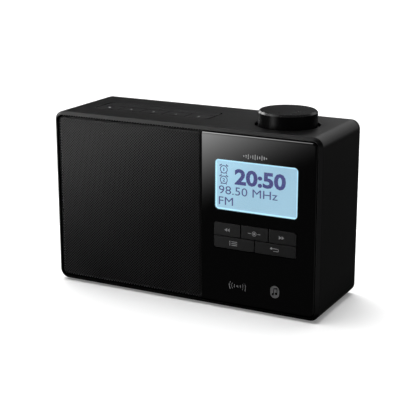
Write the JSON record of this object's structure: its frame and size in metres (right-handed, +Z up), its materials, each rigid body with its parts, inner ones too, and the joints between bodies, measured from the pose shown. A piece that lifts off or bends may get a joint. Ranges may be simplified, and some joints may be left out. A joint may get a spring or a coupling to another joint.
{
  "type": "tabletop radio",
  "caption": "Upright black tabletop radio with a perforated speaker front, lit display, front and top push keys, a turning volume knob and a folding telescopic antenna.",
  "frame": {"origin": "on the surface the radio stands on, under the middle of the cabinet", "axes": "+X to the right along the front, +Y from the front to the back, +Z up"},
  "size_m": [0.25, 0.0941, 0.1653],
  "materials": {
    "housing_plastic": "fine satin texture, black",
    "cover_plastic": "fine matt texture, black",
    "panel_gloss": "piano-black high gloss",
    "grille_metal": "black powder coat, finely perforated",
    "grille_cloth": "black acoustic cloth",
    "lens_clear": "clear moulded window",
    "lcd_glass": "lit liquid-crystal cell, pale blue with dark characters",
    "backlight_white": "white diffuser",
    "holder_black": "black moulding",
    "frame_plastic": "black moulding",
    "key_plastic": "satin black with grey printed symbols",
    "knob_plastic": "satin black, turned edge",
    "silicone": "grey silicone rubber",
    "foot_rubber": "black rubber",
    "board_green": "green solder mask with copper and print",
    "parts_mixed": "black moulded electronic parts",
    "shield_tin": "tinned sheet",
    "plated_steel": "bright zinc plate",
    "black_steel": "black oxide",
    "basket_steel": "black enamel",
    "ferrite": "dark grey sintered ferrite",
    "cone_paper": "black pressed pulp",
    "cap_paper": "black pressed pulp",
    "coil_copper": "enamelled copper winding",
    "surround_rubber": "soft black rubber",
    "spider_cloth": "resin-stiffened cloth",
    "foam_black": "black closed-cell foam",
    "socket_black": "black moulding",
    "encoder_metal": "plated case",
    "shaft_alloy": "turned shaft",
    "ribbon_grey": "grey ribbon cable",
    "wire_red_black": "insulated wire",
    "wire_black": "insulated wire",
    "antenna_chrome": "bright plated tube"
  },
  "bodies": {
    "cabinet": {"main_housing": "housing_plastic", "rear_cover": "cover_plastic", "rubber_feet": "foot_rubber", "front_frame": "frame_plastic", "front_panel": "panel_gloss", "speaker_grille": "grille_metal", "grille_cloth": "grille_cloth", "display_lens": "lens_clear", "lcd_cell": "lcd_glass", "lcd_backlight": "backlight_white", "lcd_holder": "holder_black", "front_keypad_mat": "silicone", "front_board": "board_green", "front_board_parts": "parts_mixed", "top_keypad_mat": "silicone", "top_board": "board_green", "encoder_body": "encoder_metal", "encoder_nut": "plated_steel", "speaker_gasket": "foam_black", "speaker_basket": "basket_steel", "speaker_top_plate": "plated_steel", "speaker_magnet": "ferrite", "speaker_yoke": "plated_steel", "speaker_surround": "surround_rubber", "speaker_spider": "spider_cloth", "speaker_screws": "plated_steel", "main_board": "board_green", "main_board_parts": "parts_mixed", "tuner_shield": "shield_tin", "dc_socket": "socket_black", "headphone_socket": "socket_black", "front_ribbon_cable": "ribbon_grey", "top_ribbon_cable": "ribbon_grey", "speaker_cable": "wire_red_black", "antenna_lead": "wire_black", "rear_cover_screws": "black_steel", "frame_screws": "plated_steel"},
    "knob": {"volume_knob": "knob_plastic", "encoder_shaft": "shaft_alloy"},
    "speaker_diaphragm": {"speaker_cone": "cone_paper", "dust_cap": "cap_paper", "voice_coil": "coil_copper"},
    "antenna_swivel_base": {"antenna_base": "antenna_chrome"},
    "antenna_section_1": {"antenna_tube_1": "antenna_chrome", "antenna_pin": "plated_steel"},
    "antenna_section_2": {"antenna_tube_2": "antenna_chrome"},
    "antenna_section_3": {"antenna_tube_3": "antenna_chrome"},
    "antenna_section_4": {"antenna_tip": "antenna_chrome"},
    "rewind_key_body": {"rewind_key": "key_plastic"},
    "enter_key_body": {"enter_key": "key_plastic"},
    "forward_key_body": {"forward_key": "key_plastic"},
    "menu_key_body": {"menu_key": "key_plastic"},
    "back_key_body": {"back_key": "key_plastic"},
    "preset_key_1_body": {"preset_key_1": "key_plastic"},
    "preset_key_2_body": {"preset_key_2": "key_plastic"},
    "preset_key_3_body": {"preset_key_3": "key_plastic"},
    "preset_key_4_body": {"preset_key_4": "key_plastic"},
    "preset_key_5_body": {"preset_key_5": "key_plastic"},
    "power_key_body": {"power_key": "key_plastic"},
    "snooze_key_body": {"snooze_key": "key_plastic"}
  },
  "joints": [
    {"name": "volume_turn", "type": "hinge", "parent": "cabinet", "child": "knob", "pos_m": [0.0779, -0.0015, 0.16], "axis": [0, 0, -1], "continuous": true},
    {"name": "rewind_key_press", "type": "slide", "parent": "cabinet", "child": "rewind_key_body", "axis": [0, 1, 0], "range_m": [0, 0.0008], "stiffness_N_per_m": 1200},
    {"name": "enter_key_press", "type": "slide", "parent": "cabinet", "child": "enter_key_body", "axis": [0, 1, 0], "range_m": [0, 0.0008], "stiffness_N_per_m": 1200},
    {"name": "forward_key_press", "type": "slide", "parent": "cabinet", "child": "forward_key_body", "axis": [0, 1, 0], "range_m": [0, 0.0008], "stiffness_N_per_m": 1200},
    {"name": "menu_key_press", "type": "slide", "parent": "cabinet", "child": "menu_key_body", "axis": [0, 1, 0], "range_m": [0, 0.0008], "stiffness_N_per_m": 1200},
    {"name": "back_key_press", "type": "slide", "parent": "cabinet", "child": "back_key_body", "axis": [0, 1, 0], "range_m": [0, 0.0008], "stiffness_N_per_m": 1200},
    {"name": "preset_key_1_press", "type": "slide", "parent": "cabinet", "child": "preset_key_1_body", "axis": [0, 0, -1], "range_m": [0, 0.0008], "stiffness_N_per_m": 1200},
    {"name": "preset_key_2_press", "type": "slide", "parent": "cabinet", "child": "preset_key_2_body", "axis": [0, 0, -1], "range_m": [0, 0.0008], "stiffness_N_per_m": 1200},
    {"name": "preset_key_3_press", "type": "slide", "parent": "cabinet", "child": "preset_key_3_body", "axis": [0, 0, -1], "range_m": [0, 0.0008], "stiffness_N_per_m": 1200},
    {"name": "preset_key_4_press", "type": "slide", "parent": "cabinet", "child": "preset_key_4_body", "axis": [0, 0, -1], "range_m": [0, 0.0008], "stiffness_N_per_m": 1200},
    {"name": "preset_key_5_press", "type": "slide", "parent": "cabinet", "child": "preset_key_5_body", "axis": [0, 0, -1], "range_m": [0, 0.0008], "stiffness_N_per_m": 1200},
    {"name": "power_key_press", "type": "slide", "parent": "cabinet", "child": "power_key_body", "axis": [0, 0, -1], "range_m": [0, 0.0008], "stiffness_N_per_m": 1200},
    {"name": "snooze_key_press", "type": "slide", "parent": "cabinet", "child": "snooze_key_body", "axis": [0, 0, -1], "range_m": [0, 0.0008], "stiffness_N_per_m": 1200},
    {"name": "speaker_excursion", "type": "slide", "parent": "cabinet", "child": "speaker_diaphragm", "axis": [0, -1, 0], "range_m": [-0.0015, 0.0015], "stiffness_N_per_m": 800, "deforming": ["speaker_surround", "speaker_spider"]},
    {"name": "antenna_swivel", "type": "hinge", "parent": "cabinet", "child": "antenna_swivel_base", "pos_m": [0.1, 0.0425, 0.138], "axis": [0, 1, 0], "range_deg": [0, 180]},
    {"name": "antenna_tilt", "type": "hinge", "parent": "antenna_swivel_base", "child": "antenna_section_1", "pos_m": [0.1, 0.048, 0.138], "axis": [0, 0, -1], "range_deg": [0, 90]},
    {"name": "antenna_extend_2", "type": "slide", "parent": "antenna_section_1", "child": "antenna_section_2", "axis": [-1, 0, 0], "range_m": [0, 0.095]},
    {"name": "antenna_extend_3", "type": "slide", "parent": "antenna_section_2", "child": "antenna_section_3", "axis": [-1, 0, 0], "range_m": [0, 0.095]},
    {"name": "antenna_extend_4", "type": "slide", "parent": "antenna_section_3", "child": "antenna_section_4", "axis": [-1, 0, 0], "range_m": [0, 0.095]}
  ]
}
